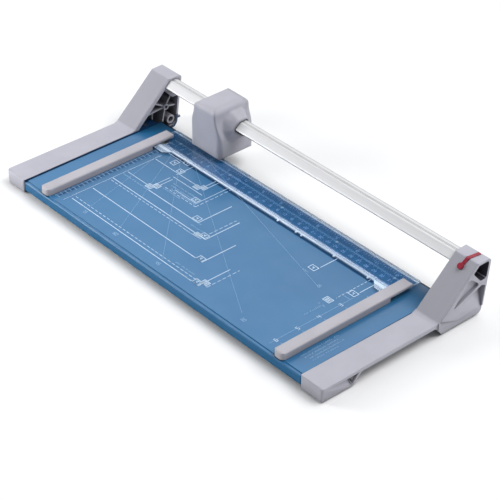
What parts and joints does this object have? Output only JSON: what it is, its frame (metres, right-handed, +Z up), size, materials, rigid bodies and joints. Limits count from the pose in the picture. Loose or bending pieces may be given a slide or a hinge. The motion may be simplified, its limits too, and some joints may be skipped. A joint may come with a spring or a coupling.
{
  "type": "rotary paper trimmer",
  "caption": "Desk rotary trimmer: sheet steel table, rail towers, sliding head with a coupled round blade, clear clamp strip and a pull-out rail lock clip.",
  "frame": {"origin": "on the desk, under the middle of the whole trimmer's box", "axes": "+X along the rail towards the tower with the lock clip, +Y from the user to the rail, +Z up"},
  "size_m": [0.45, 0.204, 0.07],
  "materials": {
    "table_paint": "satin blue paint on sheet steel",
    "tool_steel": "ground steel",
    "zinc_steel": "zinc plated",
    "grey_plastic": "fine textured light grey moulding",
    "rubber": "matt",
    "rail_aluminium": "clear anodised, drawn",
    "bar_plastic": "warm light grey moulding",
    "clear_plastic": "clear polished",
    "spring_steel": "bright strip",
    "dark_plastic": "glass filled dark grey",
    "black_plastic": "slippery black bearing plastic",
    "white_plastic": "white bearing plastic",
    "blade_steel": "polished and ground edge",
    "red_plastic": "satin red moulding"
  },
  "bodies": {
    "base": {"table_plate": "table_paint", "counter_blade": "tool_steel", "counter_blade_screws": "zinc_steel", "left_end_cap": "grey_plastic", "right_end_cap": "grey_plastic", "end_cap_screws": "zinc_steel", "rubber_feet": "rubber", "guide_rail": "rail_aluminium", "rail_screw": "zinc_steel", "left_alignment_bar": "bar_plastic", "right_alignment_bar": "bar_plastic", "bar_screws": "zinc_steel", "clamp_springs": "spring_steel"},
    "clamp": {"clamp_strip": "clear_plastic"},
    "head": {"head_cover": "grey_plastic", "head_rear_cover": "grey_plastic", "head_screws": "zinc_steel", "head_carriage": "dark_plastic", "glide_bushes": "black_plastic", "press_shoe": "white_plastic", "blade_axle": "tool_steel", "retaining_ring": "spring_steel", "spring_washer": "spring_steel"},
    "blade": {"blade_hub": "black_plastic", "cutting_blade": "blade_steel"},
    "clip": {"lock_clip": "red_plastic"}
  },
  "joints": [
    {"name": "head_slide", "type": "slide", "parent": "base", "child": "head", "axis": [1, 0, 0], "range_m": [-0.05, 0.286]},
    {"name": "blade_spin", "type": "hinge", "parent": "head", "child": "blade", "pos_m": [-0.118, 0.0684, 0.025], "axis": [0, 1, 0], "continuous": true},
    {"name": "clamp_press", "type": "slide", "parent": "base", "child": "clamp", "axis": [0, 0, 1], "range_m": [-0.001, 0], "deforming": ["clamp_springs"]},
    {"name": "lock_clip_pull", "type": "slide", "parent": "base", "child": "clip", "axis": [0, -0.6734, 0.7393], "range_m": [0, 0.014]}
  ],
  "couplings": [
    {"joint": "blade_spin", "follows": "head_slide", "rad_per_m": 80}
  ]
}
